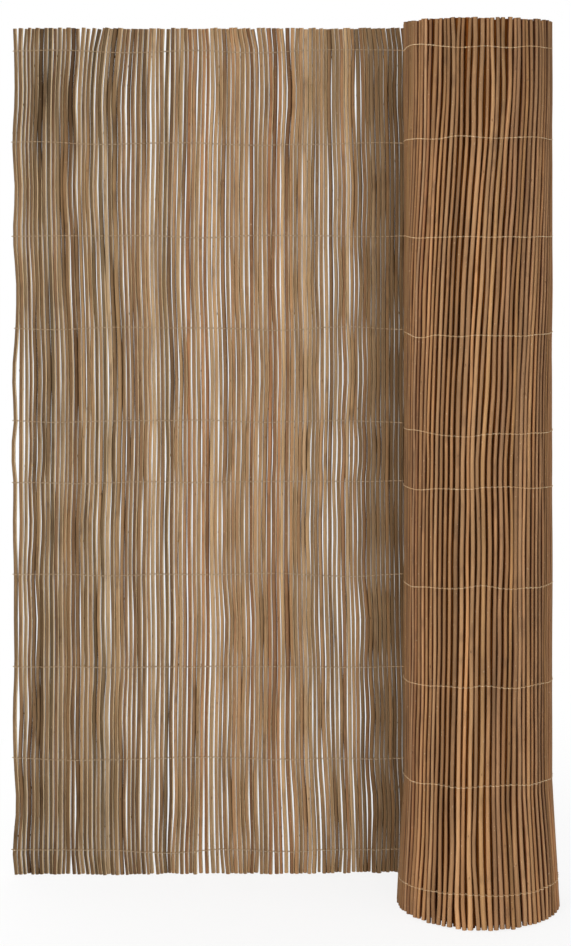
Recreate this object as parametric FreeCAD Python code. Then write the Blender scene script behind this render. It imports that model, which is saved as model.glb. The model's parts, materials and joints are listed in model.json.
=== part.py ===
import FreeCAD, Part
import math
import os
import random

# Willow screening fence: a mat of unpeeled willow rods laced side by side with rows
# of thin galvanised wire. It stands on its end. Most of it is rolled up round an open hollow,
# and the loose flap runs off to the left (-X) from the back (+Y) of the roll.
# The origin is on the floor, on the axis of the roll. +Z is up, along the rods.

# The screen as a whole, in millimetres
screen_height = 1000.0
flap_length = 536.0
roll_radius = 85.5
bore_radius = 16.0

# The roll's base splays out over its lowest stretch
splay_height = 140.0
base_splay = 9.0

# Willow rods
rod_diameter = 4.9
rod_thickness_spread = 0.4
rod_taper_share = 0.12
rod_end_spread = 2.0
flap_rod_gap = 0.3
flap_gap_spread = 1.8
roll_rod_gap = 1.2
roll_gap_spread = 1.2
narrowest_gap_share = 0.3
rod_sides = 6
bend_height = 570.0

# Rows of binding wire, each with a strand on either side of the rods
wire_diameter = 0.7
wire_edge_distance = 28.0
wire_row_spacing = 109.0
narrowest_middle_spacing = 50.0
upper_row_climb = 5.0
lower_row_climb = 20.0
edge_row_dip = 10.0
climb_angle = math.pi

# Clearances between rods, strands and turns
strand_clearance = 0.1
turn_clearance = 0.3

# Grooves that mark the turns on both ends of the inner roll
turn_groove_width = 1.3
turn_groove_depth = 4.0

# How finely the outer turn and the grooves follow their spirals
turn_chords = 24
groove_chords_per_turn = 12
flap_rod_bundles = 5
turn_rod_bundles = 4
random_seed = 41

# Sizes that follow from the ones above
thickest_rod = (rod_diameter + rod_thickness_spread) * (1.0 + rod_taper_share / 2.0)
seat_radius = thickest_rod / 2.0
strand_offset = seat_radius + strand_clearance + wire_diameter / 2.0
core_offset = strand_offset + wire_diameter / 2.0 + turn_clearance
outer_turn_step = thickest_rod + 2.0 * (wire_diameter + strand_clearance) + turn_clearance
inner_turn_pitch = rod_diameter + 2.0 * wire_diameter + strand_clearance
room_for_half_the_rows = (screen_height - narrowest_middle_spacing) / 2.0 - wire_edge_distance
wire_rows_each_half = 1 + int(room_for_half_the_rows / wire_row_spacing)
chord_angle = 2.0 * math.pi / turn_chords
full_turn = 2.0 * math.pi
section_heights = [0.0, splay_height, bend_height, screen_height]


def splay(height):
    """How much wider the roll is at this height than in its straight upper part."""
    share = max(0.0, 1.0 - height / splay_height)
    return 1.0 + share * base_splay / roll_radius


def mat_radius(angle, height):
    """Distance from the roll's axis to the mat in the outer turn.

    The angle runs from the back of the roll, clockwise as seen from above.
    """
    return (roll_radius - outer_turn_step * angle / full_turn) * splay(height)


def polar_point(radius, angle, height):
    return FreeCAD.Vector(radius * math.sin(angle), radius * math.cos(angle), height)


def turn_point(angle, height):
    """A point in the middle of the mat on the outer turn, which is made of straight chords."""
    chord = min(int(angle / chord_angle), turn_chords - 1)
    start_angle = chord * chord_angle
    end_angle = start_angle + chord_angle
    start = polar_point(mat_radius(start_angle, height), start_angle, height)
    end = polar_point(mat_radius(end_angle, height), end_angle, height)
    return start + (end - start) * ((angle - start_angle) / chord_angle)


def flap_point(distance, height):
    """A point in the middle of the flap, at this distance from where it leaves the roll."""
    nearness = 1.0 - distance / flap_length
    depth = roll_radius * (1.0 + (splay(height) - 1.0) * nearness)
    return FreeCAD.Vector(-distance, depth, height)


class Rod:
    """One willow rod: its radius and its place along the mat at each section height."""

    def __init__(self, gap_spread, dice):
        self.diameter = rod_diameter + dice.uniform(-rod_thickness_spread, rod_thickness_spread)
        self.taper = dice.choice([-1.0, 1.0]) * rod_taper_share
        self.foot_height = dice.uniform(0.0, rod_end_spread)
        self.top_height = screen_height - dice.uniform(0.0, rod_end_spread)
        openness = gap_spread * dice.random() ** 2
        self.gap_shares = [narrowest_gap_share + openness * dice.uniform(0.5, 1.5)
                           for _ in section_heights]
        self.places = []

    def heights(self):
        return [self.foot_height] + section_heights[1:-1] + [self.top_height]

    def radius(self, height):
        thickening = 1.0 + self.taper * (0.5 - height / screen_height)
        return self.diameter / 2.0 * thickening


def lay_rods(length, gap, gap_spread, dice):
    """Lay rods side by side over this length: most of them close, and some with a wide gap."""
    count = int(length / (rod_diameter + gap))
    rods = [Rod(gap_spread, dice) for _ in range(count)]
    for level, height in enumerate(section_heights):
        free_length = length - sum(2.0 * rod.radius(height) for rod in rods)
        share_length = free_length / sum(rod.gap_shares[level] for rod in rods)
        place = 0.0
        for rod in rods:
            place += rod.gap_shares[level] * share_length / 2.0 + rod.radius(height)
            rod.places.append(place)
            place += rod.gap_shares[level] * share_length / 2.0 + rod.radius(height)
    return rods


def rod_section(centre, radius, outward_angle):
    """A level outline of a rod, with a corner that points out of the mat."""
    corners = []
    for side in range(rod_sides):
        angle = outward_angle + full_turn * side / rod_sides
        corners.append(centre + polar_point(radius, angle, 0.0))
    return Part.makePolygon(corners + corners[:1])


def rod_solid(rod, place_on_mat, outward_angle):
    """A tapered, slightly bent rod that lies against the strands on the mat's outer side."""
    sections = []
    for place, height in zip(rod.places, rod.heights()):
        radius = rod.radius(height)
        seat = polar_point(seat_radius - radius, outward_angle, 0.0)
        sections.append(rod_section(place_on_mat(place, height) + seat, radius, outward_angle))
    return Part.makeLoft(sections, True, True)


def flap_rods():
    """The rods of the loose flap, from the roll to the free edge."""
    rods = lay_rods(flap_length, flap_rod_gap, flap_gap_spread, random.Random(random_seed))
    return [rod_solid(rod, flap_point, 0.0) for rod in rods]


def outer_turn_rods():
    """The rods of the outermost turn, from where the flap leaves it to where it goes under."""
    mean_radius = roll_radius - outer_turn_step / 2.0
    dice = random.Random(random_seed + 1)
    rods = lay_rods(full_turn * mean_radius, roll_rod_gap, roll_gap_spread, dice)

    def place_on_turn(place, height):
        return turn_point(place / mean_radius, height)

    solids = []
    for rod in rods:
        outward_angle = sum(rod.places) / len(rod.places) / mean_radius
        solids.append(rod_solid(rod, place_on_turn, outward_angle))
    return solids


def row_height(row, angle):
    """Height of a wire row: level along the flap, then climbing on its way round the roll.

    The rows next to the mat's ends climb less than the others of their half.
    """
    rows_from_edge = row % wire_rows_each_half
    distance = wire_edge_distance + rows_from_edge * wire_row_spacing
    dip = edge_row_dip if rows_from_edge == 0 else 0.0
    way_round = min(1.0, angle / climb_angle)
    if row < wire_rows_each_half:
        return distance + way_round * (lower_row_climb - dip)
    return screen_height - distance + way_round * (upper_row_climb - dip)


def strand_section(centre, outward_angle):
    """A square section of wire, upright and square to the mat."""
    outward = polar_point(wire_diameter / 2.0, outward_angle, 0.0)
    upward = FreeCAD.Vector(0.0, 0.0, wire_diameter / 2.0)
    corners = [centre - outward - upward, centre + outward - upward,
               centre + outward + upward, centre - outward + upward]
    return Part.makePolygon(corners + corners[:1])


def wire_strand(row, offset):
    """A strand on one side of the rods: straight along the flap, then round the outer turn."""
    flap_end = flap_point(flap_length, row_height(row, 0.0))
    sections = [strand_section(flap_end + FreeCAD.Vector(0.0, offset, 0.0), 0.0)]
    last_angle = full_turn - turn_clearance / roll_radius
    for corner in range(turn_chords + 1):
        angle = min(corner * chord_angle, last_angle)
        height = row_height(row, angle)
        radius = mat_radius(angle, height) + offset / math.cos(chord_angle / 2.0)
        sections.append(strand_section(polar_point(radius, angle, height), angle))
    return Part.makeLoft(sections, True, True)


def binding_wire(row):
    """A row of binding wire: the inner and the outer strand."""
    return Part.makeCompound([wire_strand(row, -strand_offset), wire_strand(row, strand_offset)])


def core_outline(height):
    """The inner turns' outside in plan, with the step where the outer turn goes under."""
    corners = []
    for corner in range(turn_chords + 1):
        angle = corner * chord_angle
        corners.append(polar_point(mat_radius(angle, height) - core_offset, angle, height))
    return Part.makePolygon(corners + corners[:1])


def turn_groove(height, depth):
    """A spiral slot between the inner turns, cut from an end face at this height."""
    core_foot = mat_radius(full_turn, height) - core_offset
    turns = (core_foot - bore_radius) / inner_turn_pitch - 1.0
    steps = int(turns * groove_chords_per_turn)
    inner_wall = []
    outer_wall = []
    for step in range(steps + 1):
        angle = full_turn * step / groove_chords_per_turn
        radius = core_foot - inner_turn_pitch * step / groove_chords_per_turn
        inner_wall.append(polar_point(radius, angle, height))
        outer_wall.append(polar_point(radius + turn_groove_width, angle, height))
    outline = Part.makePolygon(inner_wall + outer_wall[::-1] + inner_wall[:1])
    return Part.Face(outline).extrude(FreeCAD.Vector(0.0, 0.0, depth))


def inner_turns():
    """The turns under the outer one: a wound roll with its hollow and its turns on both ends."""
    core_top = screen_height - rod_end_spread / 2.0
    base = Part.makeLoft([core_outline(0.0), core_outline(splay_height)], True, True)
    straight_height = FreeCAD.Vector(0.0, 0.0, core_top - splay_height)
    straight = Part.Face(core_outline(splay_height)).extrude(straight_height)
    bore = Part.makeCylinder(bore_radius, core_top)
    foot_groove = turn_groove(0.0, turn_groove_depth)
    top_groove = turn_groove(core_top, -turn_groove_depth)
    return base.fuse(straight).removeSplitter().cut([bore, foot_groove, top_groove])


def export_bundles(name, solids, bundle_count):
    """Write rods that lie side by side as a few bundles, in the order they lie in."""
    for bundle in range(bundle_count):
        first = len(solids) * bundle // bundle_count
        last = len(solids) * (bundle + 1) // bundle_count
        members = Part.makeCompound(solids[first:last])
        members.exportStep("parts/%s_%d.step" % (name, bundle + 1))


os.makedirs("parts", exist_ok=True)
roll_of_inner_turns = inner_turns()
roll_of_inner_turns.exportStep("parts/inner_turns.step")
export_bundles("outer_turn_rods", outer_turn_rods(), turn_rod_bundles)
export_bundles("flap_rods", flap_rods(), flap_rod_bundles)
for row in range(2 * wire_rows_each_half):
    binding_wire(row).exportStep("parts/binding_wire_%02d.step" % (row + 1))

inner_radius = roll_radius - outer_turn_step / 2.0 - core_offset
inner_length = math.pi * (inner_radius ** 2 - bore_radius ** 2) / inner_turn_pitch
outer_length = full_turn * (roll_radius - outer_turn_step / 2.0)
print("mat length in metres: %.2f" % ((flap_length + outer_length + inner_length) / 1000.0))
print("inner turns valid:", roll_of_inner_turns.isValid())
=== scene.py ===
# %% [markdown]
# # A willow screening fence, partly unrolled
#
# Willow screening is a mat of thin willow rods that keep their bark. Rows of galvanised wire run
# across the rods. Each row has two strands, which swap sides between one rod and the next and so
# grip every rod. The mat is sold as a roll. Here the roll stands on its end at the right, and the
# loose flap runs off to the left from the back of the roll.
#
# The CAD model holds the real sizes and places, in plain shapes: a straight-edged bar for each rod
# of the flap and of the outer turn, one wound solid for the turns under it, and two plain strands
# for each row of wire. This script gives each of them its real form and finish, in the same
# place. All lengths are in metres.
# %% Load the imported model
import json
import math
import random
from dataclasses import dataclass

import bmesh
import bpy
import numpy as np
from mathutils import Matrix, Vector, noise


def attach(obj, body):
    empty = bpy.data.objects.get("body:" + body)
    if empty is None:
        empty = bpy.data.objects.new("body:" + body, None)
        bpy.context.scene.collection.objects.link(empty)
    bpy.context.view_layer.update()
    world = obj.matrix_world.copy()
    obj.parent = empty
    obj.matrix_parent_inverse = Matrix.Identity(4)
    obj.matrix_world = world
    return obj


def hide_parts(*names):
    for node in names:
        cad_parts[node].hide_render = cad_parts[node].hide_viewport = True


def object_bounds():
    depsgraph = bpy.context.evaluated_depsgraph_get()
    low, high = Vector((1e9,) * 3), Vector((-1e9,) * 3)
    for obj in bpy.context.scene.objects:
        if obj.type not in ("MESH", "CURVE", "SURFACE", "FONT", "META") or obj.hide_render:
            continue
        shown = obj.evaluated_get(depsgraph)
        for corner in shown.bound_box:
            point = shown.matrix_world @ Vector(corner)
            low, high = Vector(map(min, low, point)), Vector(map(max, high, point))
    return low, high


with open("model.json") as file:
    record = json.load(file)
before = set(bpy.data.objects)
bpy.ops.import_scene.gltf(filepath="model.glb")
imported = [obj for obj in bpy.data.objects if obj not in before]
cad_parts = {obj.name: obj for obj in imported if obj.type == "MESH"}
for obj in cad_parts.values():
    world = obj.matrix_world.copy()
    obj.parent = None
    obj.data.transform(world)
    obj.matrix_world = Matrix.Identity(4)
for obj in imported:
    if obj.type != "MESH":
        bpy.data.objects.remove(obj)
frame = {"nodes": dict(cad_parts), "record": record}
cad_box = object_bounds()
print("nodes in the CAD model:", len(frame["nodes"]))
# %% [markdown]
# ## A short way to write nodes
#
# Both the materials and the shapes below are made of nodes. `Nodes.add` makes any node from its
# type, its settings and the values or links of its inputs. It returns a `Signal`, which stands
# for the node's output, and Python's own signs work on it: `1 - mask` adds a Math node.
# %% Signals and nodes
def sign(operation):
    """What one of Python's signs does with a Signal and a value: it adds a Math node."""
    return lambda self, other: self.nodes.math(operation, self, other)


class Signal:
    """An output of a node. Python's arithmetic on it adds Math nodes."""

    def __init__(self, nodes, node, socket):
        self.nodes = nodes
        self.node = node
        self.socket = socket

    def __getitem__(self, name):
        return Signal(self.nodes, self.node, open_socket(self.node.outputs, name))

    def __rsub__(self, other):
        return self.nodes.math("SUBTRACT", other, self)

    __add__ = __radd__ = sign("ADD")
    __sub__ = sign("SUBTRACT")
    __mul__ = __rmul__ = sign("MULTIPLY")
    __truediv__ = sign("DIVIDE")
    __gt__ = sign("GREATER_THAN")
    __lt__ = sign("LESS_THAN")


def open_socket(sockets, key):
    """A socket by its place in the list, or by name among those that the settings leave in use."""
    if isinstance(key, int):
        return sockets[key]
    return next(socket for socket in sockets if socket.name == key and socket.enabled)


class Nodes:
    """A node tree that is being built."""

    def __init__(self, tree):
        self.tree = tree
        tree.nodes.clear()

    def add(self, kind, settings=None, inputs=None):
        node = self.tree.nodes.new(kind)
        for name, value in (settings or {}).items():
            if name == "stops":
                set_stops(node.color_ramp, value)
            else:
                setattr(node, name, value)
        for key, value in (inputs or {}).items():
            socket = open_socket(node.inputs, key)
            for part in value if isinstance(value, list) else [value]:
                if isinstance(part, Signal):
                    self.tree.links.new(part.socket, socket)
                else:
                    socket.default_value = part
        outputs = [socket for socket in node.outputs if socket.enabled]
        return Signal(self, node, outputs[0] if outputs else None)

    def math(self, operation, *values):
        return self.add("ShaderNodeMath", {"operation": operation}, dict(enumerate(values)))

    def vector_math(self, operation, *values):
        inputs = dict(enumerate(values))
        if operation == "SCALE":
            inputs = {0: values[0], "Scale": values[1]}
        return self.add("ShaderNodeVectorMath", {"operation": operation}, inputs)

    def vector(self, x, y, z):
        return self.add("ShaderNodeCombineXYZ", inputs={"X": x, "Y": y, "Z": z})

    def split(self, vector):
        return self.add("ShaderNodeSeparateXYZ", inputs={"Vector": vector})

    def noise(self, place, scale=1.0, detail=2.0, roughness=0.5):
        inputs = {"Vector": place, "Scale": scale, "Detail": detail, "Roughness": roughness}
        return self.add("ShaderNodeTexNoise", inputs=inputs)


def set_stops(ramp, stops):
    """Give a colour ramp these (position, colour) stops."""
    while len(ramp.elements) < len(stops):
        ramp.elements.new(1.0)
    for element, (position, colour) in zip(ramp.elements, stops):
        element.position = position
        element.color = colour


print("node helpers are ready")
# %% [markdown]
# ## Where the rods lie
#
# A mat of rods looks right when its rods lie as real ones do: held at every row of wire, and free
# to bow, lean and touch between the rows. The CAD bars give each rod's thickness and its place.
# So the script first reads the bars out of the CAD nodes. A copy of a node's mesh is merged, and
# corners that are joined by edges belong to one bar. The corners at one height make a section.
# %% Read the bars of the CAD model
same_point = 1e-5
section_spacing = 0.01


class Bar:
    """A plain bar of the CAD model: the middle and the radius of each of its sections."""

    def __init__(self, corners):
        corners.sort(key=lambda corner: corner.z)
        sections = [[corners[0]]]
        for corner in corners[1:]:
            if corner.z - sections[-1][-1].z > section_spacing:
                sections.append([])
            sections[-1].append(corner)
        self.middles = [sum(section, Vector()) / len(section) for section in sections]
        self.heights = [middle.z for middle in self.middles]
        self.radii = [sum((corner - middle).length for corner in section) / len(section)
                      for section, middle in zip(sections, self.middles)]

    def radius(self, height):
        return float(np.interp(height, self.heights, self.radii))


def bars_in(node_name):
    shape = bmesh.new()
    shape.from_mesh(frame["nodes"][node_name].data)
    bmesh.ops.remove_doubles(shape, verts=shape.verts, dist=same_point)
    seen = set()
    bars = []
    for start in shape.verts:
        if start in seen:
            continue
        seen.add(start)
        group = [start]
        for corner in group:
            for edge in corner.link_edges:
                neighbour = edge.other_vert(corner)
                if neighbour not in seen:
                    seen.add(neighbour)
                    group.append(neighbour)
        bars.append(Bar([corner.co.copy() for corner in group]))
    shape.free()
    return bars


def numbered_nodes(start):
    return sorted(name for name in frame["nodes"] if name.startswith(start))


def flat(groups):
    return [member for group in groups for member in group]


flap_nodes = numbered_nodes("flap_rods_")
turn_nodes = numbered_nodes("outer_turn_rods_")
wire_nodes = numbered_nodes("binding_wire_")
flap_bars = [bars_in(name) for name in flap_nodes]
turn_bars = [bars_in(name) for name in turn_nodes]
print("bars in the flap:", sum(map(len, flap_bars)), "and in the turn:", sum(map(len, turn_bars)))
# %% [markdown]
# ## The line of the mat, seen from above
#
# The outer turn is a spiral round the roll's axis. Its angle runs from the back of the roll,
# clockwise as seen from above. Two rods, the first and the last of the turn, are enough to work
# out the spiral's start and how far it steps in during the turn. The base of the roll splays out
# below a certain height, and the second section of every bar lies at that height. The flap is a
# straight line at the same depth as the start of the spiral, and under the outer turn the mat
# goes on as a tighter spiral, down to the hollow in the middle.
# %% The path of the mat
full_turn = 2.0 * math.pi
inner_turn_pitch = 0.0064
bore_radius = frame["record"]["mounts"][0]["dims"]["r_mm"] / 1000.0


def angle_of(point):
    return math.atan2(point.x, point.y) % full_turn


first_bar = min(turn_bars[0], key=lambda bar: angle_of(bar.middles[1]))
last_bar = max(turn_bars[-1], key=lambda bar: angle_of(bar.middles[1]))
seat_radius = max(max(bar.radii) for bar in flat(turn_bars + flap_bars))


def mat_depth(bar, level):
    """How far out the middle of the mat lies at a bar. Thin rods lie nearer its outer face."""
    middle = bar.middles[level]
    return math.hypot(middle.x, middle.y) - (seat_radius - bar.radii[level])


screen_height = cad_box[1].z
splay_height = first_bar.heights[1]
foot_splay = mat_depth(first_bar, 0) / mat_depth(first_bar, 1) - 1.0
turned = angle_of(last_bar.middles[1]) - angle_of(first_bar.middles[1])
outer_turn_step = (mat_depth(first_bar, 1) - mat_depth(last_bar, 1)) * full_turn / turned
first_share = angle_of(first_bar.middles[1]) / full_turn
roll_radius = mat_depth(first_bar, 1) + outer_turn_step * first_share
flap_length = -cad_box[0].x


def splay(height):
    return 1.0 + foot_splay * max(0.0, 1.0 - height / splay_height)


def turn_radius(angle, height):
    """The mat's distance from the axis. It steps in more slowly after the first turn."""
    if angle <= full_turn:
        return (roll_radius - outer_turn_step * angle / full_turn) * splay(height)
    start = roll_radius - outer_turn_step
    radius = start - inner_turn_pitch * (angle / full_turn - 1.0)
    nearness_to_outside = (radius - bore_radius) / (start - bore_radius)
    return radius * (1.0 + (splay(height) - 1.0) * nearness_to_outside)


print("roll radius in millimetres: %.1f" % (roll_radius * 1000))
print("step of the outer turn: %.2f, splay of the foot: %.3f" % (outer_turn_step * 1000, foot_splay))
# %% [markdown]
# ## The rows of wire
#
# The rows hold the rods, so they come first. Their heights are read off the CAD strands: a row is
# level along the flap, climbs on its way to the front of the roll, and falls back a little past
# it. Real wire is never quite straight, so a slow noise adds a wave.
# %% Heights of the wire rows
wire_radius = 0.00035
row_wave = 0.0045
row_rhythm = (2.0, 20.0, 5.0)
fall_past_front = 0.55


def slow_noise(rhythm, where, height, seed=0.0):
    """A smooth random number from -1 to 1. A rhythm is its speed along and up, and a shift."""
    along, up, shift = rhythm
    return noise.noise(Vector((where * along, height * up, seed + shift)))


def height_at_least(node_name, axis):
    """The height of a wire where it reaches furthest down this axis: X on the flap, Y in front."""
    corners = [corner.co for corner in frame["nodes"][node_name].data.vertices]
    least = min(corner[axis] for corner in corners)
    heights = [corner.z for corner in corners if corner[axis] < least + 4.0 * wire_radius]
    return sum(heights) / len(heights)


row_ends = {name: (height_at_least(name, 0), height_at_least(name, 1)) for name in wire_nodes}


def row_height(node_name, angle=0.0):
    """Height of a wire row at this angle round the roll. On the flap the angle is 0."""
    on_flap, in_front = row_ends[node_name]
    share = min(1.0, angle / math.pi)
    past_front = min(1.0, max(0.0, angle / math.pi - 1.0) * 2.0)
    climb = (in_front - on_flap) * share * (1.0 - past_front * fall_past_front)
    return on_flap + climb + slow_noise(row_rhythm, angle, on_flap) * row_wave * share


row_heights = sorted(row_height(name) for name in wire_nodes)
between_rows = [(low + high) / 2.0 for low, high in zip(row_heights, row_heights[1:])]
levels = sorted([0.0, screen_height] + row_heights + between_rows)
print("wire rows in millimetres:", [round(height * 1000) for height in row_heights])
# %% [markdown]
# ## Laying the rods
#
# Straight, evenly spaced rods would look like a printed pattern. In a real mat every rod is a
# little bent. The wire holds it at each row, and between two rows it bows to one side, so gaps
# open and close all over the mat, and light shows through in long thin lenses. Groups of rods
# lean together, and rods stray further near their ends, where wire holds them on one side only.
#
# Noise alone would push the rods into each other. So every rod gets its pushes at each row of
# wire and halfway between the rows, and then `settle` moves rods apart that share the same room
# and closes gaps that are too wide. A rod that lies further back may end up partly behind the
# next one, as in the real mat.
# %% Where rods are loose and where they lean
loose_from = 0.70
loose_stretch = 0.30
lean_speed = 2.2


def looseness(height):
    """1 over most of the height, and up to 2 at both ends of the rods."""
    off_middle = abs(2.0 * height / screen_height - 1.0)
    return 1.0 + max(0.0, off_middle - loose_from) / loose_stretch


def lean_at(height):
    """How far the lean has come at this height: it starts at half height."""
    share = min(1.0, max(0.0, height / screen_height * lean_speed - lean_speed / 2.0))
    return share * share * (3.0 - 2.0 * share)


print("levels at which rods are pushed:", len(levels))
# %% Push the rods and let them settle
least_gap = 0.00002
least_gap_at_wire = 0.0003
settling_rounds = 60
free_from_end = 0.06
calm_groups = 0.9
edge_rhythm = (9.0, 1.0, 7.0)
# Rods wander, bow and shift in depth one by one, so their noise changes from rod to rod. They
# sway and form groups together, and that noise changes along the mat.
rhythms = {
    "wander": (3.93, 3.2, 20.0), "bow": (5.71, 11.0, 0.0), "sway": (4.0, 3.0, 40.0),
    "groups": (13.0, 7.0, 60.0), "depth": (4.37, 9.0, 80.0)}


def settle(places, depths, radii, gap, widest_gap):
    """Move neighbours until each has its room and no gap is too wide, but for the loose edge."""
    for _ in range(settling_rounds):
        for left in range(len(places) - 1):
            apart = radii[left] + radii[left + 1] + gap
            in_depth = min(abs(depths[left + 1] - depths[left]), apart)
            room = places[left + 1] - places[left]
            missing = math.sqrt(apart ** 2 - in_depth ** 2) - room
            too_wide = min(0.0, missing + widest_gap)
            if left == len(places) - 2:
                too_wide = 0.0
            move = (max(0.0, missing) + too_wide) / 2.0
            places[left] -= move
            places[left + 1] += move


def laid(bars, thicknesses, place_of, pushes, seed):
    """The place and the depth of each rod at each level, as a list of rods for every level."""
    def push(kind, where):
        return slow_noise(rhythms[kind], where, height, seed) * pushes[kind]

    rows = []
    start, end = place_of(bars[0].middles[1]), place_of(bars[-1].middles[1])
    for height in levels:
        held = height in row_heights
        freedom = pushes["held"] if held else 1.0
        leaning = pushes["lean"] * lean_at(height)
        loose = looseness(height)
        places = []
        depths = []
        for number, bar in enumerate(bars):
            place = float(np.interp(height, bar.heights, [place_of(m) for m in bar.middles]))
            to_end = min(1.0, max(0.0, min(place - start, end - place) / free_from_end))
            together = push("sway", place) + leaning + push("groups", place) * (loose - calm_groups)
            alone = push("wander", number) + push("bow", number) * freedom
            places.append(place + alone * loose + together * to_end)
            depths.append(push("depth", number) * freedom)
        if not held:
            places[-1] += pushes["loose_edge"] * (0.5 + slow_noise(edge_rhythm, height, seed))
        foot = 1.0 + pushes["foot"] * (splay(height) - 1.0)
        radii = [bar.radius(height) * thickness * foot for bar, thickness in zip(bars, thicknesses)]
        gap = least_gap_at_wire if held else least_gap
        settle(places, depths, radii, gap, pushes["widest_gap"] * loose)
        rows.append(list(zip(places, depths)))
    return rows


def smooth(knots, values, at):
    """A curve that passes through all the values, as a bent rod does."""
    index = min(max(int(np.searchsorted(knots, at)) - 1, 0), len(knots) - 2)
    before = values[max(index - 1, 0)]
    start, end = values[index], values[index + 1]
    after = values[min(index + 2, len(values) - 1)]
    share = (at - knots[index]) / (knots[index + 1] - knots[index])
    bend = 2.0 * before - 5.0 * start + 4.0 * end - after
    twist = 3.0 * (start - end) + after - before
    return start + 0.5 * share * (end - before + share * (bend + share * twist))


print("pushes on a rod:", sorted(rhythms))
# %% [markdown]
# ## Rods of the flap and the outer turn
#
# A rod of the dressed mat knows its middle line and its thickness at any height. The flap also
# waves a little in depth, as a mat does that was rolled up before. Next to the roll its rods lie
# close, so they take up nearly all the room, and on the splayed foot the rods are thicker.
# %% How far the rods are pushed
# In metres, apart from "held", the share of a bow that is left at a row of wire, and "foot", how
# many times as strongly as the mat's splay the rods thicken.
flap_pushes = {
    "wander": 0.0036, "bow": 0.0016, "held": 0.3, "sway": 0.010, "lean": 0.0, "groups": 0.012,
    "depth": 0.0040, "loose_edge": 0.0050, "widest_gap": 0.0013, "foot": 0.0}
turn_pushes = {
    "wander": 0.0028, "bow": 0.0046, "held": 0.3, "sway": 0.008, "lean": -0.026, "groups": 0.004,
    "depth": 0.0015, "loose_edge": 0.0, "widest_gap": 0.0018, "foot": 2.2}
flap_rod_shares = (0.85, 1.13)
turn_rod_shares = (0.82, 1.10)
close_from = 0.066
close_to = 0.112
close_share = 1.15
print("largest lean in millimetres:", turn_pushes["lean"] * 1000)
# %% Rods with a middle line
flap_wave = 0.005
flap_wave_rhythm = (7.0, 3.5, 3.0)
flat_by_roll = 0.12
step_out = 0.01


@dataclass
class Rod:
    """A dressed rod: where it stands and how thick it is, at any height."""
    bar: Bar
    thickness: float
    foot: float
    places: list
    depths: list
    stand: callable

    def radius(self, height):
        return self.bar.radius(height) * self.thickness * (1.0 + self.foot * (splay(height) - 1.0))

    def middle(self, height):
        place = smooth(levels, self.places, height)
        depth = smooth(levels, self.depths, height)
        return self.stand(place, height, seat_radius - self.radius(height) + depth)

    def outward(self, height):
        """Which way the mat faces here, square to its outer side."""
        place = smooth(levels, self.places, height)
        return (self.stand(place, height, step_out) - self.stand(place, height, 0.0)).normalized()

    def point(self, height):
        return self.middle(height), self.radius(height), self.outward(height)


def stand_on_flap(distance, height, outward_shift):
    nearness = 1.0 - distance / flap_length
    depth = roll_radius * (1.0 + (splay(height) - 1.0) * nearness)
    wave = slow_noise(flap_wave_rhythm, distance, height) * flap_wave
    depth += wave * min(1.0, distance / flat_by_roll)
    return Vector((-distance, depth + outward_shift, height))


def stand_on_turn(angle, height, outward_shift):
    radius = turn_radius(angle, height) + outward_shift
    return Vector((radius * math.sin(angle), radius * math.cos(angle), height))


def rods_of(bar_groups, shares, place_of, stand, unit, pushes, seed):
    """Dressed rods for groups of CAD bars, in the same groups."""
    bars = sorted(flat(bar_groups), key=lambda bar: place_of(bar.middles[1]))
    dice = random.Random(seed)
    thicknesses = [dice.uniform(*shares) for _ in bars]
    for number, bar in enumerate(bars):
        if close_from < -bar.middles[1].x < close_to and bar.middles[1].y > 0.0:
            thicknesses[number] = close_share
    rows = laid(bars, thicknesses, place_of, pushes, seed)
    rods = []
    for number, bar in enumerate(bars):
        places = [row[number][0] / unit for row in rows]
        depths = [row[number][1] for row in rows]
        rods.append(Rod(bar, thicknesses[number], pushes["foot"], places, depths, stand))
    in_order = iter(rods)
    return [[next(in_order) for _ in group] for group in bar_groups]


middle_radius = roll_radius - outer_turn_step / 2.0
flap_rods = rods_of(flap_bars, flap_rod_shares, lambda middle: -middle.x, stand_on_flap,
                    1.0, flap_pushes, 1.0)
turn_rods = rods_of(turn_bars, turn_rod_shares, lambda middle: angle_of(middle) * middle_radius,
                    stand_on_turn, middle_radius, turn_pushes, 9.0)
print("rods in the flap's first bundle:", len(flap_rods[0]))
# %% [markdown]
# ## Lines that carry facts
#
# Geometry Nodes will grow the rods and the wires from plain lines. A line is a row of points
# joined by edges, and each point can carry facts of its own, called attributes: how thick the rod
# is there, which way the mat faces, and which rod it is. The nodes read them by name.
#
# The inner turns have no bars in the CAD model, so their rods are laid one after the other along
# the tighter spiral. Only their ends show, and a glimpse of them between the outer rods.
# %% Turn rods into lines
rings_per_rod = 44


def lines_mesh(name, lines):
    """A mesh of open lines. A line is a list of points, each with its thickness and outward."""
    mesh = bpy.data.meshes.new(name)
    points = flat(lines)
    edges = []
    numbers = []
    for number, line in enumerate(lines):
        start = len(numbers)
        edges += [(start + step, start + step + 1) for step in range(len(line) - 1)]
        numbers += [number] * len(line)
    mesh.from_pydata([place for place, _, _ in points], edges, [])
    facts = [("thickness", "FLOAT", "value", [radius for _, radius, _ in points]),
             ("outward", "FLOAT_VECTOR", "vector", [part for *_, way in points for part in way]),
             ("rod_number", "INT", "value", numbers)]
    for fact, kind, key, values in facts:
        mesh.attributes.new(fact, kind, "POINT").data.foreach_set(key, values)
    return mesh


def heights_along(foot, top, count):
    return [foot + (top - foot) * step / (count - 1) for step in range(count)]


def line_of(rod):
    heights = heights_along(rod.bar.heights[0], rod.bar.heights[-1], rings_per_rod)
    return [rod.point(height) for height in heights]


print("rings in a rod:", rings_per_rod)
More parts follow.
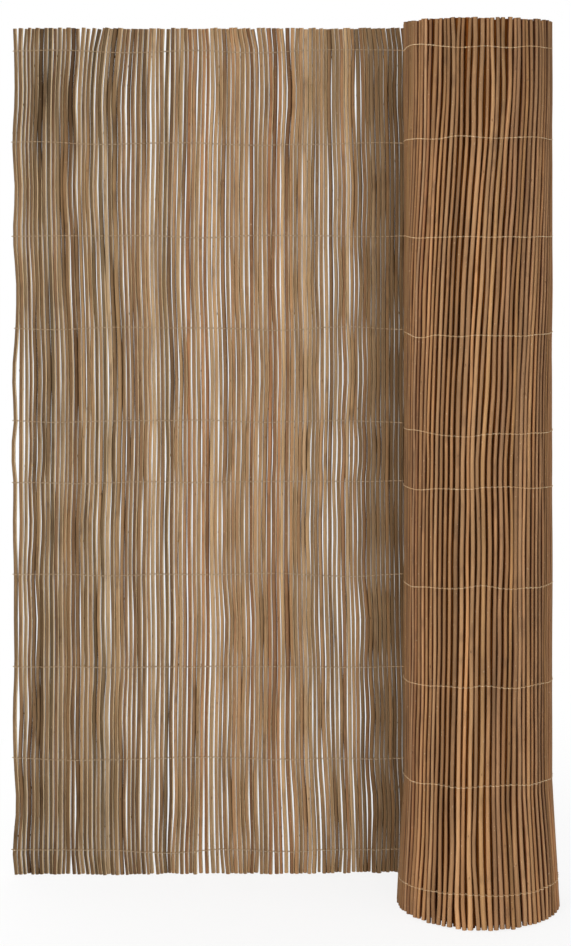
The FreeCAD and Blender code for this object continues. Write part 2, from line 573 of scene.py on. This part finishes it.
# %% Lay the rods of the inner turns
inner_rings_per_rod = 13
inner_rod_size = 0.93
thinnest_inner_rod = 0.93
uneven_foot = 0.001
uneven_top = 0.003
inner_wander = 0.0016
inner_rhythm = (4.3, 7.0, 21.0)


def inner_line(angle, number, dice):
    """The line of one rod of the inner turns, with slightly uneven ends."""
    radius = dice.uniform(thinnest_inner_rod, 1.0) * seat_radius * inner_rod_size
    foot = dice.uniform(0.0, uneven_foot)
    top = screen_height - dice.uniform(0.0, uneven_top)
    line = []
    for height in heights_along(foot, top, inner_rings_per_rod):
        wander = slow_noise(inner_rhythm, number, height) * inner_wander
        here = angle + wander / turn_radius(angle, height)
        line.append((stand_on_turn(here, height, 0.0), radius, Vector((0.0, 0.0, 0.0))))
    return line


def inner_lines(spacing, dice):
    lines = []
    angle = full_turn + spacing / middle_radius
    while turn_radius(angle, screen_height) - seat_radius > bore_radius:
        lines.append(inner_line(angle, len(lines), dice))
        angle += spacing / turn_radius(angle, screen_height)
    return lines


rod_spacing = full_turn * middle_radius / sum(map(len, turn_rods))
inner_turn_lines = inner_lines(rod_spacing, random.Random(7))
print("rods in the inner turns:", len(inner_turn_lines))
# %% [markdown]
# ## A tree of nodes that grows willow rods
#
# The tree turns each line into a curve and sweeps a small circle along it. The circle's size is
# the rod's own thickness with a slow swelling and thinning on top, because a rod is never a true
# cone. Closed caps make the cut ends.
#
# A rod that grew on a willow also carries buds. A bud stands out from the outline and catches
# the light, so the tree sets one small pointed body at each of a random few of many points along
# the rod, turned a random way.
#
# The tree also writes down facts for the material: the rod's own tone, its middle line and
# thickness, so that a pattern can run round the rod, and which faces are cut ends or buds.
# %% A tree that makes shapes
class ShapeNodes(Nodes):
    """A Geometry Nodes tree that takes lines, named sizes and a finish, and gives one shape."""

    def __init__(self, name, sizes):
        super().__init__(bpy.data.node_groups.new(name, "GeometryNodeTree"))
        self.new_socket("Lines", "Geometry")
        for label, value in sizes.items():
            kind = "Int" if isinstance(value, int) else "Float"
            self.new_socket(label, kind).default_value = value
        self.new_socket("Finish", "Material")
        self.new_socket("Shape", "Geometry", "OUTPUT")
        self.given = self.add("NodeGroupInput")

    def new_socket(self, label, kind, side="INPUT"):
        kind = "NodeSocket" + kind
        return self.tree.interface.new_socket(label, in_out=side, socket_type=kind)

    def shape(self, kind, inputs=None, settings=None):
        return self.add("GeometryNode" + kind, settings, inputs)

    def read(self, name, kind="FLOAT"):
        return self.shape("InputNamedAttribute", {"Name": name}, {"data_type": kind})

    def store(self, shape, name, value, kind="FLOAT", domain="POINT"):
        inputs = {"Geometry": shape, "Name": name, "Value": value}
        return self.shape("StoreNamedAttribute", inputs, {"data_type": kind, "domain": domain})

    def random(self, low, high, key, seed):
        inputs = {"Min": low, "Max": high, "ID": key, "Seed": seed}
        return self.add("FunctionNodeRandomValue", {"data_type": "FLOAT"}, inputs)

    def sweep(self, curves, sides, radius, more):
        """A circle swept along curves, with closed caps."""
        inputs = {"Resolution": sides, "Radius": radius}
        circle = self.shape("CurvePrimitiveCircle", inputs, {"mode": "RADIUS"})
        inputs = {"Curve": curves, "Profile Curve": circle, "Fill Caps": True, **more}
        return self.shape("CurveToMesh", inputs)

    def smooth(self, shape, where=True):
        return self.shape("SetShadeSmooth", {"Geometry": shape, "Shade Smooth": where})

    def end(self, shape):
        """Every tree ends alike: instances made real, and the material set."""
        real = self.shape("RealizeInstances", {"Geometry": shape})
        inputs = {"Geometry": real, "Material": self.given["Finish"]}
        self.add("NodeGroupOutput", inputs={"Shape": self.shape("SetMaterial", inputs)})
        return self.tree


print("helpers for shapes are ready")
# %% The rod tree
level_facing = 0.9
bud_half_size = (0.00045, 0.0006, 0.0016)
bud_seat = 0.93
bud_reach = 0.485
bud_scales = (0.6, 1.3)
swelling_rhythm = (3.7, 16.0, 1.3)


def swept_rods(nodes, curves):
    """The rods themselves: a circle swept along each line, with smooth bark and flat cut ends."""
    rods = nodes.sweep(curves, nodes.given["Rod Sides"], 1.0, {"Scale": nodes.read("girth")})
    facing = nodes.split(nodes.shape("InputNormal"))
    is_end = nodes.math("ABSOLUTE", facing["Z"]) > level_facing
    rods = nodes.store(rods, "cut_end", is_end, domain="FACE")
    return nodes.smooth(rods, 1.0 - nodes.read("cut_end"))


def grown_buds(nodes, curves):
    """Small pointed bodies on the bark, at random heights and turned random ways."""
    inputs = {"Curve": curves, "Count": nodes.given["Bud Places"]}
    points = nodes.shape("CurveToPoints", inputs, {"mode": "COUNT"})["Points"]
    index = nodes.shape("InputIndex")
    turn = nodes.random(0.0, full_turn, index, 3)
    sideways = nodes.vector(nodes.math("COSINE", turn), nodes.math("SINE", turn), 0.0)
    offset = nodes.vector_math("SCALE", sideways, nodes.read("girth") * bud_seat)
    points = nodes.shape("SetPosition", {"Geometry": points, "Offset": offset})
    points = nodes.store(points, "bud", 1.0)
    ball = nodes.shape("MeshIcoSphere", {"Radius": 1.0, "Subdivisions": 1})
    bud = nodes.smooth(nodes.shape("Transform", {"Geometry": ball, "Scale": bud_half_size}))
    height = nodes.split(nodes.shape("InputPosition"))["Z"]
    off_middle = nodes.math("ABSOLUTE", height - screen_height / 2.0)
    clear_of_ends = off_middle < screen_height * bud_reach
    chosen = clear_of_ends * (nodes.random(0.0, 1.0, index, 4) < nodes.given["Bud Share"])
    size = nodes.random(*bud_scales, index, 5)
    return nodes.shape("InstanceOnPoints", {
        "Points": points, "Selection": chosen, "Instance": bud,
        "Rotation": nodes.vector(0.0, 0.0, turn), "Scale": nodes.vector(size, size, size)})


def make_rod_tree():
    nodes = ShapeNodes("Willow rods", {
        "Rod Sides": 10, "Swelling": 0.16, "Bud Places": 90, "Bud Share": 0.14, "Seed": 1})
    seed = nodes.given["Seed"]
    curves = nodes.shape("MeshToCurve", {"Mesh": nodes.given["Lines"]})
    number = nodes.read("rod_number", "INT")
    position = nodes.shape("InputPosition")
    from_rod, from_height, from_seed = swelling_rhythm
    along_rod = nodes.vector(number * from_rod, seed * from_seed,
                             nodes.split(position)["Z"] * from_height)
    swelling = (nodes.noise(along_rod) - 0.5) * nodes.given["Swelling"]
    curves = nodes.store(curves, "girth", nodes.read("thickness") * (1.0 + swelling))
    curves = nodes.store(curves, "tone", nodes.random(0.0, 1.0, number, seed))
    curves = nodes.store(curves, "core", position, "FLOAT_VECTOR")
    parts = [swept_rods(nodes, curves), grown_buds(nodes, curves)]
    return nodes.end(nodes.shape("JoinGeometry", {"Geometry": parts}))


rod_tree = make_rod_tree()
print("nodes in the rod tree:", len(rod_tree.nodes))
# %% [markdown]
# ## A tree that twists the wire
#
# Each row of wire is two strands. A strand passes in front of one rod and behind the next, and
# where the strands cross between two rods they turn round each other. The line of a row has one
# point on every rod. The tree divides each stretch between two rods, finds the nearest rod for
# every point, and lifts the point to the surface of that rod, out or in by turns. Between rods
# the same rule leaves the strands above and below each other.
# %% The wire tree
wire_clearance = 0.00005
crossing_rise = 1.25


def strand(nodes, curve, side):
    """One strand of the row. The other one has the opposite side."""
    steps, wire = nodes.given["Steps per Rod"], nodes.given["Wire Radius"]
    index = nodes.shape("InputIndex")
    rod_index = nodes.math("ROUND", index / steps) * steps

    def at_rod(value, kind):
        inputs = {"Value": value, "Index": rod_index}
        return nodes.shape("FieldAtIndex", inputs, {"data_type": kind})

    position = nodes.shape("InputPosition")
    rod_middle = at_rod(position, "FLOAT_VECTOR")
    reach = at_rod(nodes.read("thickness"), "FLOAT") + wire + wire_clearance
    aside = nodes.vector_math("DISTANCE", position, rod_middle)["Value"]
    lift = nodes.math("SQRT", nodes.math("MAXIMUM", reach * reach - aside * aside, 0.0))
    phase = index / steps * math.pi
    in_or_out = nodes.math("SIGN", nodes.math("COSINE", phase))
    rise = nodes.math("SINE", phase) * (1.0 - lift / reach) * wire * (crossing_rise * side)
    outward = nodes.read("outward", "FLOAT_VECTOR")
    lifted = nodes.vector_math("SCALE", outward, lift * in_or_out * side)
    offset = nodes.vector_math("ADD", lifted, nodes.vector(0.0, 0.0, rise))
    return nodes.shape("SetPosition", {"Geometry": curve, "Offset": offset})


def make_wire_tree():
    nodes = ShapeNodes("Binding wire", {
        "Steps per Rod": 8, "Wire Sides": 5, "Wire Radius": wire_radius})
    given = nodes.given
    curve = nodes.shape("MeshToCurve", {"Mesh": given["Lines"]})
    curve = nodes.shape("SubdivideCurve", {"Curve": curve, "Cuts": given["Steps per Rod"] - 1})
    strands = [strand(nodes, curve, side) for side in (1.0, -1.0)]
    both = nodes.shape("JoinGeometry", {"Geometry": strands})
    wires = nodes.sweep(both, given["Wire Sides"], given["Wire Radius"], {})
    return nodes.end(nodes.smooth(wires))


wire_tree = make_wire_tree()
print("nodes in the wire tree:", len(wire_tree.nodes))
# %% [markdown]
# ## Willow bark
#
# Seen close, a dried willow rod is not one brown. Each rod has its own tone, from honey through
# red-brown to grey-brown, and its own brightness, and both drift along it. Fine ridges run
# lengthwise, small pale pores dot the bark, and the buds are darker. The sides of each rod are
# painted darker than its face, as painted shade where the rods meet, and many rods of the loose
# flap carry a painted highlight, a pale strip along one side. The cut ends show pale wood with a
# dark pith, inside a thin rim of bark.
#
# A picture of bark would repeat itself on 650 rods, so the material is made of noise. Its pattern
# is measured from the rod's own middle line, which the rod tree wrote down, and stretched along
# the rod. So it runs round every rod without a seam, and a number of its own keeps each rod apart.
# %% Helpers for finishes
bark_scale = 700.0


def screen_colour(red, green, blue):
    """A colour as a screen shows it, from 0 to 255, as the linear colour that Blender wants."""
    parts = [part / 255.0 for part in (red, green, blue)]
    linear = [part / 12.92 if part <= 0.04045 else ((part + 0.055) / 1.055) ** 2.4
              for part in parts]
    return (*linear, 1.0)


class Finish(Nodes):
    """The nodes of a material."""

    def __init__(self, name):
        self.material = bpy.data.materials.new(name)
        self.material.use_nodes = True
        super().__init__(self.material.node_tree)
        self.place = self.add("ShaderNodeTexCoord")["Object"]

    def mix(self, share, first, second, blend="MIX"):
        settings = {"data_type": "RGBA", "blend_type": blend, "clamp_factor": True}
        return self.add("ShaderNodeMix", settings, {"Factor": share, "A": first, "B": second})

    def brighten(self, colour, value):
        """A colour times a number."""
        inputs = {"Red": value, "Green": value, "Blue": value}
        grey = self.add("ShaderNodeCombineColor", inputs=inputs)
        return self.mix(1.0, colour, grey, "MULTIPLY")

    def between(self, value, low, high):
        """0 below the low value, 1 above the high one, and a smooth step in between."""
        inputs = {"Value": value, "From Min": low, "From Max": high}
        return self.add("ShaderNodeMapRange", {"interpolation_type": "SMOOTHSTEP"}, inputs)

    def stored(self, name, output="Fac"):
        """A fact that the rod tree wrote down."""
        return self.add("ShaderNodeAttribute", {"attribute_name": name})[output]

    def show(self, shader):
        self.add("ShaderNodeOutputMaterial", inputs={"Surface": shader})
        return self.material


class Bark(Finish):
    """A finish that knows where a point lies on its rod, with patterns that follow the rod."""

    def __init__(self, name):
        super().__init__(name)
        self.height = self.split(self.place)["Z"]
        self.tone = self.stored("tone")
        self.girth = self.stored("girth")
        self.outward = self.stored("outward", "Vector")
        self.from_core = self.vector_math("SUBTRACT", self.place, self.stored("core", "Vector"))

    def own_place(self, stretch, shift, second_shift):
        """A place in the noise for each rod and height, the same all the way round the rod."""
        return self.vector(self.tone * shift, self.tone * second_shift, self.height * stretch)

    def pattern(self, stretch, shift, detail, roughness=0.5):
        """A fine pattern that runs round the rod and is stretched along it."""
        round_rod = self.vector_math("SCALE", self.from_core, bark_scale)
        place = self.vector_math("ADD", round_rod, self.own_place(stretch, shift, shift * 0.7))
        return self.noise(place, 1.0, detail, roughness)["Fac"]

    def drift(self, stretch, shift):
        """A slow change along the rod."""
        return self.noise(self.own_place(stretch, shift, shift * 1.9), roughness=0.55)["Fac"]

    def towards(self, direction):
        """How far the point lies this way from the rod's middle line, in radii of the rod."""
        return self.vector_math("DOT_PRODUCT", self.from_core, direction)["Value"] / self.girth


print("helpers for finishes are ready")
# %% The bark material
stain_brown = screen_colour(84, 58, 38)
pore_tan = screen_colour(205, 182, 150)
bud_brown = screen_colour(84, 54, 34)
# Brown of painted shade: the roll's shadow on the flap, the roll's edge by the flap, and its right
# side.
painted_shade_brown = screen_colour(98, 64, 34)
# Pale cream of the painted highlight strips along one side of the flap's rods.
highlight_cream = screen_colour(222, 195, 156)
pith_brown = screen_colour(120, 90, 62)
wood_cream = screen_colour(200, 176, 140)
rim_brown = screen_colour(96, 68, 48)
second_tone = 37.0


def marked(bark, look, ridges, pores):
    """The rod's own colour and brightness, with ridges, stains, pores and darker buds."""
    last = len(look["palette"]) - 1
    stops = [(index / last, screen_colour(*rgb)) for index, rgb in enumerate(look["palette"])]
    colour = bark.add("ShaderNodeValToRGB", {"stops": stops}, {"Fac": bark.tone})["Color"]
    spread = look["spread"]
    own_brightness = bark.math("FRACT", bark.tone * second_tone) * spread + (1.0 - spread / 2.0)
    slow_drift = bark.drift(stretch=5.0, shift=210.0) * 1.5 + 0.25
    colour = bark.brighten(colour, slow_drift * own_brightness)
    colour = bark.brighten(colour, ridges * 1.1 + 0.45)
    stains = bark.between(bark.drift(stretch=26.0, shift=470.0), 0.56, 0.74)
    colour = bark.mix(stains * 0.40, colour, stain_brown)
    colour = bark.mix(pores * 0.5, colour, pore_tan)
    return bark.mix(bark.stored("bud") * 0.55, colour, bud_brown)


def shaded_and_lit(bark, look, colour):
    """Painted shade on each rod's sides, and a painted highlight strip along one side."""
    sideways = bark.vector_math("CROSS_PRODUCT", bark.outward, (0.0, 0.0, 1.0))
    # A painted highlight: a pale strip along one side of the rod, in stretches along it.
    strip_here = bark.between(bark.drift(stretch=3.0, shift=90.0), 0.38, 0.48)
    strip_share = bark.between(bark.towards(sideways), 0.38, 0.66) * strip_here * look["strip"]
    if "weather" in look:
        brightness, shade_share = look["weather"](bark)
        colour = bark.mix(shade_share, bark.brighten(colour, brightness), painted_shade_brown)
        strip_share = strip_share * (1.0 - shade_share * 1.2)
    # Painted shade: the sides of each rod are darkened by the look's side shade, most where rods meet.
    on_face = bark.between(bark.math("ABSOLUTE", bark.towards(bark.outward)), 0.1, 0.85)
    on_side = bark.mix(1.0, colour, screen_colour(*look["side_tint"]), "MULTIPLY")
    return bark.mix(strip_share, bark.mix(on_face, on_side, colour), highlight_cream)


def cut_wood(bark):
    """The end of a rod: a dark pith, pale wood and a rim of bark."""
    from_middle = bark.vector_math("LENGTH", bark.from_core)["Value"] / bark.girth
    wood = bark.mix(bark.between(from_middle, 0.16, 0.24), pith_brown, wood_cream)
    return bark.mix(bark.between(from_middle, 0.80, 0.90), wood, rim_brown)


def make_bark(name, look):
    bark = Bark(name)
    ridges = bark.pattern(stretch=30.0, shift=130.0, detail=4.0, roughness=0.65)
    pores = bark.between(bark.pattern(stretch=420.0, shift=310.0, detail=1.0), 0.70, 0.78)
    colour = shaded_and_lit(bark, look, marked(bark, look, ridges, pores))
    relief = bark.add("ShaderNodeBump", inputs={
        "Strength": 0.55, "Distance": 0.0004, "Height": ridges + pores * 0.4})
    return bark.show(bark.add("ShaderNodeBsdfPrincipled", inputs={
        "Base Color": bark.mix(bark.stored("cut_end"), colour, cut_wood(bark)),
        "Roughness": ridges * 0.3 + 0.6, "Normal": relief, "Specular IOR Level": look["gloss"]}))


print("ready to make bark")
# %% [markdown]
# ## Tone and painted shade
#
# The flap is greyer than the roll, and darker towards its free end, most of all at its top and
# bottom there. Next to the roll it is painted brown, as painted shadow of the roll. The outer turn
# is warm, darker at its top and paler at its foot, with painted shade where the flap leaves it and
# painted light on its right side, which is brighter and more orange. The turns under it are painted
# darker all over, as painted shade. A look gives the rods' colours, the spread of their brightness,
# the painted shade on their sides and the strength of the painted highlight strips.
# %% Tone and painted shade of the bark
def flap_tone_and_shade(bark):
    """Brightness and painted shade of the flap: darker at its free end, with the roll's shadow painted.
    """
    axes = bark.split(bark.place)
    from_free_end = bark.between(axes["X"], -0.53, -0.20)
    # Painted shadow of the roll on the flap beside it.
    next_to_roll = bark.between(axes["X"], -0.170, -0.095)
    off_middle = bark.between(bark.math("ABSOLUTE", axes["Z"] - 0.5), 0.28, 0.46)
    in_corner = off_middle * (1.0 - from_free_end * 0.75)
    brightness = (0.58 + from_free_end * 0.55) * (1.0 - in_corner * 0.28)
    return brightness * (1.0 - next_to_roll * 0.38), next_to_roll * 0.38


def turn_tone_and_shade(bark):
    """Darker at its top, paler at its foot, painted shade by the flap, painted light on its right side.
    """
    axes = bark.split(bark.place)
    near_top = bark.between(axes["Z"], 0.88, 0.99)
    near_foot = bark.between(axes["Z"], 0.16, 0.02)
    # Painted shade at the roll's left edge, where the flap leaves it, and painted light on its right
    # side.
    by_flap = bark.between(axes["X"], -0.064, -0.086)
    right_side = bark.between(axes["X"], 0.02, 0.07)
    brightness = (1.06 - near_top * 0.15 + near_foot * 0.22) * (1.0 - by_flap * 0.33)
    return brightness * (1.0 + right_side * 0.26), by_flap * 0.25 + right_side * 0.30


print("weather of the flap and the roll is described")
# %% The three kinds of bark
# A look's side shade is painted shade multiplied into the sides of its rods; its strip is the strength
# of the painted highlight strips.
flap_look = {
    "palette": [(172, 144, 112), (144, 113, 80), (132, 100, 72), (150, 120, 86), (145, 106, 74),
                (152, 122, 88), (166, 139, 106), (136, 110, 78), (150, 115, 81), (158, 128, 92),
                (144, 111, 77), (143, 102, 70), (128, 96, 68), (152, 120, 86)],
    "side_tint": (90, 64, 38), "spread": 0.6, "strip": 0.95, "gloss": 0.05,
    "weather": flap_tone_and_shade}
turn_look = {
    "palette": [(135, 97, 61), (149, 113, 78), (143, 98, 61), (155, 119, 85), (139, 104, 63),
                (150, 109, 72)],
    "side_tint": (128, 82, 34), "spread": 0.3, "strip": 0.0, "gloss": 0.25,
    "weather": turn_tone_and_shade}
# The inner turns have no outward, so their painted side shade covers each whole rod, as painted shade
# in the outer turn's gaps.
inner_look = {
    "palette": [(148, 102, 56), (162, 116, 68), (154, 109, 60)],
    "side_tint": (220, 180, 130), "spread": 0.2, "strip": 0.0, "gloss": 0.05}
flap_bark = make_bark("weathered willow bark", flap_look)
turn_bark = make_bark("warm willow bark", turn_look)
inner_bark = make_bark("shaded willow bark", inner_look)
print("materials:", [flap_bark.name, turn_bark.name, inner_bark.name])
# %% [markdown]
# ## Galvanised wire
#
# The wire is thin soft steel with a zinc coat that has gone dull and picked up dust from the
# bark. It is a metal with a broken sheen, so the share of metal and the roughness both follow a
# noise, and the dusty parts are tan. On the roll it is a little brighter than on the flap.
# %% The wire material
def make_wire_finish():
    wire = Finish("dull zinc wire")
    dust = wire.between(wire.noise(wire.place, 260.0, 3.0, 0.6)["Fac"], 0.38, 0.62)
    on_roll = wire.between(wire.split(wire.place)["X"], -0.11, -0.07)
    clean = wire.mix(on_roll, screen_colour(176, 158, 130), screen_colour(206, 184, 150))
    dusty = wire.mix(on_roll, screen_colour(160, 134, 102), screen_colour(190, 156, 112))
    relief = wire.add("ShaderNodeBump", inputs={
        "Strength": 0.3, "Distance": 0.0001, "Height": wire.noise(wire.place, 1800.0)["Fac"]})
    return wire.show(wire.add("ShaderNodeBsdfPrincipled", inputs={
        "Base Color": wire.mix(dust, clean, dusty), "Metallic": 0.75 - dust * 0.6,
        "Roughness": dust * 0.3 + 0.38, "Normal": relief}))


zinc_wire = make_wire_finish()
print("material:", zinc_wire.name)
# %% [markdown]
# ## Growing the pieces
#
# `grow` hangs a tree on a line mesh, sets its inputs, lets Blender work it out, and keeps the
# result as a plain mesh. Each piece then rides on the model's one body and stands for its CAD
# node.
# %% Grow one piece
triangles = {}


def new_object(name, data):
    thing = bpy.data.objects.new(name, data)
    bpy.context.scene.collection.objects.link(thing)
    return thing


def grow(name, lines, tree, sizes, finish):
    piece = new_object(name, lines)
    modifier = piece.modifiers.new(tree.name, "NODES")
    modifier.node_group = tree
    for socket in tree.interface.items_tree:
        if socket.name in sizes:
            modifier[socket.identifier] = sizes[socket.name]
        if socket.name == "Finish":
            modifier[socket.identifier] = finish
    depsgraph = bpy.context.evaluated_depsgraph_get()
    mesh = bpy.data.meshes.new_from_object(piece.evaluated_get(depsgraph))
    piece.modifiers.clear()
    piece.data = mesh
    mesh.name = name
    bpy.data.meshes.remove(lines)
    triangles[name] = sum(len(polygon.vertices) - 2 for polygon in mesh.polygons)
    return piece


def stand_for(piece, node_name):
    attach(piece, "root")
    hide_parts(node_name)


print("ready to grow")
# %% Grow the rods
# Name of the pieces, CAD nodes, rods, seed before the first piece, material and slot
bundles = [("flap_of_rods_%d", flap_nodes, flap_rods, 0, flap_bark, "flap_willow"),
           ("turn_of_rods_%d", turn_nodes, turn_rods, 10, turn_bark, "turn_willow")]
for title, node_names, rod_groups, seed, finish, slot_name in bundles:
    for number, (node_name, rods) in enumerate(zip(node_names, rod_groups), 1):
        lines = lines_mesh(node_name, [line_of(rod) for rod in rods])
        piece = grow(title % number, lines, rod_tree, {"Seed": seed + number}, finish)
        stand_for(piece, node_name)
piece = grow("rolled_rods", lines_mesh("rolled", inner_turn_lines), rod_tree,
             {"Rod Sides": 8, "Bud Share": 0.0, "Seed": 31}, inner_bark)
stand_for(piece, "inner_turns")
print("triangles:", triangles)
# %% [markdown]
# ## Lacing the wire
#
# A row of wire follows the rods, so its line has one point in the middle of each rod, at the
# row's height. It starts just outside the free edge of the flap, where the strands are twisted
# together, runs along the flap, and goes round the outer turn.
# %% Lace the rows
twist_past_edge = 0.0016
flap_row_wave = 0.004
flap_row_rhythm = (11.0, 20.0, 30.0)
level_by_roll = 0.05


def lacing(node_name):
    line = []
    height = row_height(node_name)
    for rod in reversed(flat(flap_rods)):
        place = rod.places[0]
        wave = slow_noise(flap_row_rhythm, place, height) * flap_row_wave
        line.append(rod.point(height + wave * min(1.0, place / level_by_roll)))
    edge, radius, outward = line[0]
    past_edge = edge - Vector((radius + twist_past_edge, 0.0, 0.0))
    line.insert(0, (past_edge, 0.0, outward))
    for rod in flat(turn_rods):
        line.append(rod.point(row_height(node_name, rod.places[0])))
    return line


for number, node_name in enumerate(wire_nodes, 1):
    lines = lines_mesh(node_name, [lacing(node_name)])
    piece = grow("wire_row_%02d" % number, lines, wire_tree, {}, zinc_wire)
    stand_for(piece, node_name)
print("triangles in one row of wire:", triangles["wire_row_01"])
print("triangles in all:", sum(triangles.values()))
# %% [markdown]
# ## Floor and light
#
# The photograph shows the fence on plain white. A pale floor keeps the soft shadow at its foot,
# and further out it fades to pure white. That white, and the white of the world, are there only
# for what the camera sees, so they don't light the fence.
#
# Two soft lamps in front give the even light of the photograph. A weak one at the right and one
# at the back lift the sides, one over the floor keeps it pale, and the world fills the rest.
# %% The floor
floor_size = 24.0
white_near = 0.82
fade_from = 0.3
fade_to = 0.9
pale_grey = (0.9, 0.9, 0.9, 1.0)
pure_white = (1.0, 1.0, 1.0, 1.0)


def seen_rays(nodes):
    """1 for rays that show a surface to the camera, also in a mirror or through glass."""
    path = nodes.add("ShaderNodeLightPath")
    shown = path["Is Camera Ray"] + path["Is Glossy Ray"] + path["Is Transmission Ray"]
    return nodes.math("MINIMUM", shown, 1.0)


def make_floor():
    bpy.ops.mesh.primitive_plane_add(size=floor_size)
    floor = bpy.context.object
    floor.name = "studio_floor"
    finish = Finish("pale floor")
    distance = finish.vector_math("LENGTH", finish.place)["Value"]
    whiteness = white_near + finish.between(distance, fade_from, fade_to) * (1.0 - white_near)
    matt = finish.add("ShaderNodeBsdfDiffuse", inputs={"Color": pale_grey})
    white = finish.add("ShaderNodeEmission", inputs={"Color": pure_white})
    inputs = {0: whiteness * seen_rays(finish), 1: matt, 2: white}
    floor.data.materials.append(finish.show(finish.add("ShaderNodeMixShader", inputs=inputs)))
    return floor


floor = make_floor()
print("floor:", floor.name)
# %% The world and the lamps
world_strength = 0.2
# Name, place, the point that the lamp faces, its width and its power in watts
lamps = [
    ("front lamp", (-1.8, -2.8, 1.0), (-0.2, 0.0, 0.45), 1.2, 60.0),
    ("front fill", (-0.2, -4.2, 0.9), (-0.2, 0.0, 0.5), 3.4, 50.0),
    ("right lamp", (2.6, -1.7, 0.9), (0.0, 0.0, 0.5), 1.4, 9.0),
    ("back lamp", (-0.8, 3.2, 1.4), (-0.2, 0.0, 0.5), 2.0, 28.0),
    ("floor lamp", (-0.2, 0.3, 4.0), (-0.2, 0.3, 0.0), 3.0, 110.0)]


def make_world():
    world = bpy.data.worlds.new("studio")
    bpy.context.scene.world = world
    world.use_nodes = True
    nodes = Nodes(world.node_tree)
    soft, white = [nodes.add("ShaderNodeBackground", inputs={"Color": pure_white, "Strength": strength})
                   for strength in (world_strength, 1.0)]
    both = nodes.add("ShaderNodeMixShader", inputs={0: seen_rays(nodes), 1: soft, 2: white})
    nodes.add("ShaderNodeOutputWorld", inputs={"Surface": both})


def add_soft_lamp(name, place, target, width, power):
    lamp = bpy.data.lights.new(name, "AREA")
    lamp.shape = "SQUARE"
    lamp.size = width
    lamp.energy = power
    holder = new_object(name, lamp)
    holder.location = place
    holder.rotation_euler = (Vector(target) - Vector(place)).to_track_quat("-Z", "Y").to_euler()


make_world()
for lamp in lamps:
    add_soft_lamp(*lamp)
print("lamps:", [name for name, *_ in lamps])
# %% [markdown]
# ## The camera
#
# The photograph was taken level, from in front of the middle of the picture. The upright edges
# stay upright and the rim at the top of the roll is seen almost edge on, which puts the camera
# near the top of the fence. The lens is shifted down to bring the foot into the frame.
# %% Place the camera
picture_height = 946.0
horizon_row = 174.2
focal_length_in_pixels = 2000.0
film_height = 36.0
camera_place = (-0.2169, -2.275, 0.827)


def add_camera():
    data = bpy.data.cameras.new("photograph")
    data.sensor_fit = "VERTICAL"
    data.sensor_height = film_height
    data.lens = film_height * focal_length_in_pixels / picture_height
    data.shift_y = (horizon_row - picture_height / 2.0) / picture_height
    camera = new_object("photograph", data)
    camera.location = camera_place
    camera.rotation_euler = (math.pi / 2.0, 0.0, 0.0)
    bpy.context.scene.camera = camera
    return camera


camera = add_camera()
bpy.context.scene.view_settings.view_transform = "Standard"
print("lens in millimetres: %.1f" % camera.data.lens)
